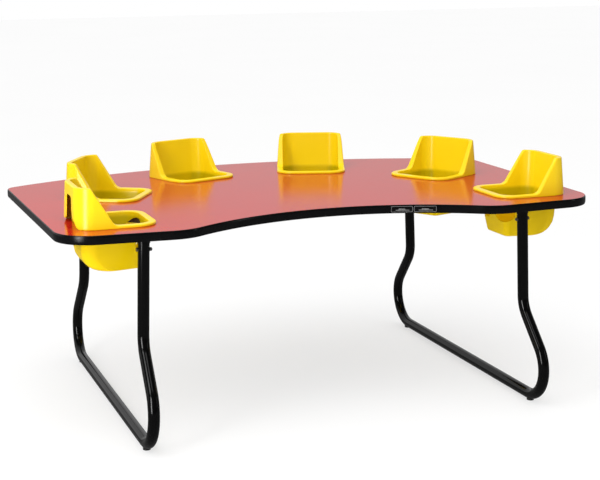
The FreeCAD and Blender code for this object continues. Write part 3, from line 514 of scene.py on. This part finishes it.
def leg_tube(name, sign):
    """Smooth bent tube along the centre line, leaning in at its top."""
    line = leg_line()
    tangents = np.gradient(line, axis=0)
    tangents /= np.linalg.norm(tangents, axis=1)[:, None]
    lean = Matrix.Rotation(-sign * LEAN, 4, "Y")
    place = Matrix.Translation((sign * LEG_X, -MIDDLE_Y, TUBE_AXIS_Z)) @ lean
    vertices = []
    for (y, z), (ty, tz) in zip(line, tangents):
        for turn in np.linspace(0, 2 * math.pi, TUBE_SIDES, endpoint=False):
            across = TUBE_RADIUS * math.cos(turn)
            out = TUBE_RADIUS * math.sin(turn)
            vertices.append(place @ Vector((across, y - tz * out, z + ty * out)))
    faces = ring_faces(len(line), TUBE_SIDES, False)
    faces.append(tuple(reversed(range(TUBE_SIDES))))
    faces.append(tuple(range((len(line) - 1) * TUBE_SIDES, len(line) * TUBE_SIDES)))
    add_mesh(f"{name}_tube", vertices, faces, BLACK_PAINT, name)


leg_tube("leg_frame_left", -1)
leg_tube("leg_frame_right", 1)

# ------------------------------------------------------------------ seats

SEAT_VOXEL, QUICK_SEAT_VOXEL = 0.0013, 0.0022
SEAT_SMOOTHING, QUICK_SEAT_SMOOTHING = 14, 6           # rounds of smoothing
SEAT_FACES_KEPT = 0.30


def seat_mesh():
    """The moulding with its edges softened, in a seat's own frame."""
    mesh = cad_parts["seat_left_side"].data.copy()
    x, y, _ = SEATS["side"]
    mesh.transform(Matrix.Translation((x, MIDDLE_Y - y, -TOP_Z)))
    draft = bpy.data.objects.new("seat draft", mesh)
    bpy.context.scene.collection.objects.link(draft)
    remesh = draft.modifiers.new("remesh", "REMESH")
    remesh.mode = "VOXEL"
    remesh.voxel_size = SEAT_VOXEL
    soften = draft.modifiers.new("soften", "SMOOTH")
    soften.factor = 0.5
    soften.iterations = SEAT_SMOOTHING
    thin = draft.modifiers.new("thin", "DECIMATE")
    thin.ratio = SEAT_FACES_KEPT
    bpy.context.view_layer.update()
    shown = draft.evaluated_get(bpy.context.evaluated_depsgraph_get())
    final = bpy.data.meshes.new_from_object(shown)
    final.name = "seat moulding"
    bpy.data.objects.remove(draft)
    return final


seat_data = seat_mesh()
for side, sign in (("left", -1), ("right", 1)):
    for where, (x, y, turn) in SEATS.items():
        facing = math.radians(-turn if sign < 0 else 180 + turn)
        seat = bpy.data.objects.new(f"seat_{side}_{where}_moulding", seat_data)
        seat.matrix_world = (Matrix.Translation((sign * x, y - MIDDLE_Y, TOP_Z))
                             @ Matrix.Rotation(facing, 4, "Z"))
        bpy.context.scene.collection.objects.link(seat)
        add_piece(seat, YELLOW, f"seat_{side}_{where}")

# ------------------------------------------------------------------ stage and light

FLOOR_HALF = 30.0            # half the floor's width
FLOOR_WHITE = 0.6            # share of the white backdrop in the floor as the camera sees it
FLOOR_DIM = 0.15             # floor as glossy surfaces see it, away from the lit backdrop
SKY_LOW, SKY_HIGH = 0.34, 1.50         # diffuse light at the horizon and overhead
SIDE_LEFT, SIDE_RIGHT = 1.25, 0.70     # and its share from each side
ROOM_FRONT, ROOM_BACK = 0.04, 0.62     # what glossy surfaces see in front and behind
ROOM_TURN = (0.0, 0.45)                # directions' Y over which one gives way to the other
# name, place, target, width and height, watts
LAMPS = (
    ("key", (-3.1, -2.4, 1.2), (-0.7, -0.35, 0.65), (1.3, 2.3), 50),
    ("key core", (-3.0, -2.3, 1.2), (-0.7, -0.35, 0.65), (0.14, 2.3), 20),
    ("high", (-2.5, -1.35, 2.55), (-0.66, -0.53, 0.33), (0.9, 1.0), 11),
    ("top", (-0.6, -0.8, 3.2), (0.0, 0.0, 0.6), (2.4, 1.8), 20),
    ("right", (3.4, -2.4, 1.6), (0.0, 0.0, 0.5), (0.3, 1.8), 3),
)


def area_light(name, spot, target, size, power):
    """Rectangular lamp that faces its target."""
    light = bpy.data.lights.new(name, "AREA")
    light.shape = "RECTANGLE"
    light.size, light.size_y = size
    light.energy = power
    lamp = bpy.data.objects.new(name, light)
    turn = (Vector(target) - Vector(spot)).to_track_quat("-Z", "Y").to_matrix().to_4x4()
    lamp.matrix_world = Matrix.Translation(spot) @ turn
    bpy.context.scene.collection.objects.link(lamp)


def emission(nodes, strength):
    """Output of a white emission shader."""
    node = nodes.new("ShaderNodeEmission")
    node.inputs["Strength"].default_value = strength
    return node.outputs["Emission"]


def mix_shaders(nodes, links, share, first, second):
    """Output of a mix of two shaders; share is the second one's."""
    node = nodes.new("ShaderNodeMixShader")
    links.new(share, node.inputs["Fac"])
    links.new(first, node.inputs[1])
    links.new(second, node.inputs[2])
    return node.outputs["Shader"]


def make_floor():
    """Pale floor that keeps the object's shadow and blends into the white backdrop."""
    mesh = bpy.data.meshes.new("floor")
    corners = [(x * FLOOR_HALF, y * FLOOR_HALF, 0) for x, y in ((-1, -1), (1, -1), (1, 1), (-1, 1))]
    mesh.from_pydata(corners, [], [(0, 1, 2, 3)])
    floor = bpy.data.objects.new("floor", mesh)
    bpy.context.scene.collection.objects.link(floor)
    material = surface("pale floor", (0.90, 0.90, 0.90), (0.92, 0.92, 0.92), grain=0.6,
                       roughness=0.9, rough_span=0.02, bump=40.0, bump_depth=0.0005)
    nodes, links = material.node_tree.nodes, material.node_tree.links
    paths = nodes.new("ShaderNodeLightPath")
    white_share = multiply(nodes, links, paths.outputs["Is Camera Ray"], FLOOR_WHITE)
    seen = mix_shaders(nodes, links, white_share, nodes["Principled BSDF"].outputs["BSDF"],
                       emission(nodes, 1.0))
    mirrored = mix_shaders(nodes, links, paths.outputs["Is Glossy Ray"], seen,
                           emission(nodes, FLOOR_DIM))
    links.new(mirrored, nodes["Material Output"].inputs["Surface"])
    dress(floor, material)


def make_world():
    """White backdrop, with more light from overhead and from the left.

    The camera sees plain white. Glossy surfaces see the backdrop behind the table and the
    dim room in front of it.
    """
    world = bpy.data.worlds.new("world")
    world.use_nodes = True
    nodes, links = world.node_tree.nodes, world.node_tree.links
    background = nodes["Background"]
    paths = nodes.new("ShaderNodeLightPath")
    place = nodes.new("ShaderNodeTexCoord")
    way = nodes.new("ShaderNodeSeparateXYZ")
    links.new(place.outputs["Generated"], way.inputs["Vector"])

    sky = map_range(nodes, links, way.outputs["Z"], (SKY_LOW, SKY_HIGH))
    side = map_range(nodes, links, way.outputs["X"], (SIDE_LEFT, SIDE_RIGHT), (-1.0, 1.0))
    room = map_range(nodes, links, way.outputs["Y"], (ROOM_FRONT, ROOM_BACK), ROOM_TURN, True)
    light = mix_values(nodes, links, paths.outputs["Is Glossy Ray"],
                       multiply(nodes, links, sky, side), room)
    seen = mix_values(nodes, links, paths.outputs["Is Camera Ray"], light, 1.0)
    background.inputs["Color"].default_value = (1, 1, 1, 1)
    links.new(seen, background.inputs["Strength"])
    bpy.context.scene.world = world


make_floor()
make_world()
for lamp in LAMPS:
    area_light(*lamp)
bpy.context.scene.view_settings.view_transform = "Standard"
